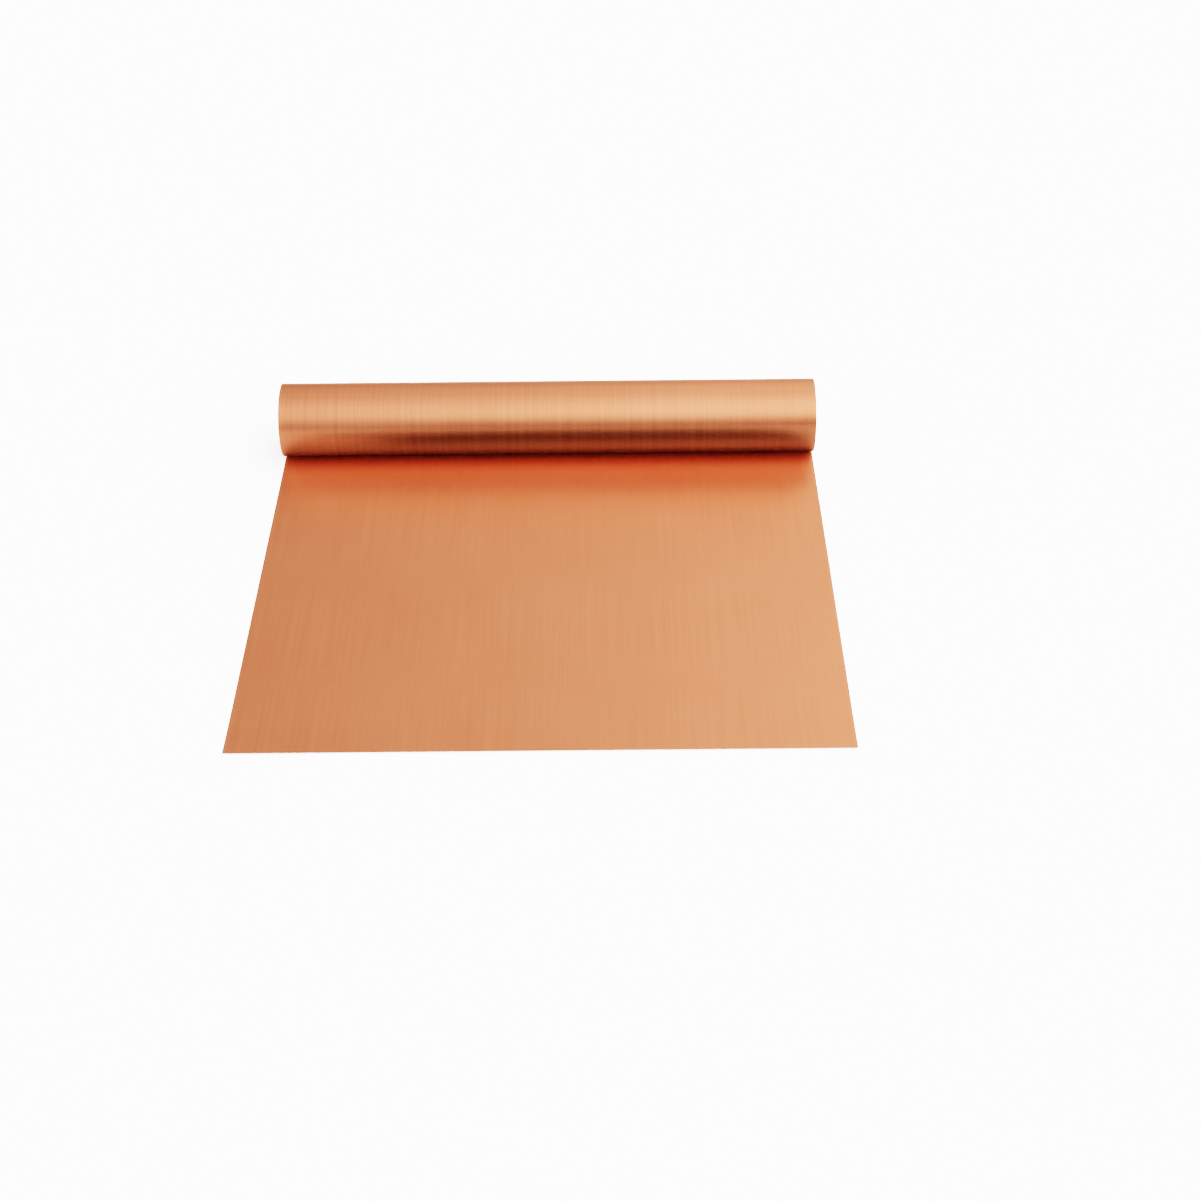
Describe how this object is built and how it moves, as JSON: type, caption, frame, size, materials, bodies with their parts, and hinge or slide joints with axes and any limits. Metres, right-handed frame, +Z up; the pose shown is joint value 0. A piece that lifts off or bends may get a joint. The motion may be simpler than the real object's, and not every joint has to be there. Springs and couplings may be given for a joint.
{
  "type": "copper foil roll",
  "caption": "Wide roll of plain copper foil wound on a paper core, with its loose end laid out flat.",
  "frame": {"origin": "on the table, in the middle of the whole object's footprint", "axes": "+X along the roll's axis, +Z up; the roll stands towards +Y and the laid-out foil runs from it towards -Y"},
  "size_m": [0.305, 0.283, 0.042],
  "materials": {
    "copper_foil": "satin bare copper",
    "core_board": "matt kraft board",
    "starter_tape": "matt tissue tape"
  },
  "bodies": {
    "laid_length": {"laid_foil": "copper_foil"},
    "lap": {"outer_lap": "copper_foil"},
    "roll": {"foil_coil": "copper_foil", "core_tube": "core_board", "starter_tape": "starter_tape"}
  },
  "joints": [
    {"name": "roll_travel", "type": "slide", "parent": "laid_length", "child": "lap", "axis": [0, -1, 0], "range_m": [0, 0.25], "deforming": ["laid_foil"]},
    {"name": "coil_turn", "type": "hinge", "parent": "lap", "child": "roll", "pos_m": [0, 0.1205, 0.02106], "axis": [1, 0, 0], "range_deg": [0, 683]}
  ],
  "couplings": [
    {"joint": "coil_turn", "follows": "roll_travel", "rad_per_m": 47.619}
  ]
}
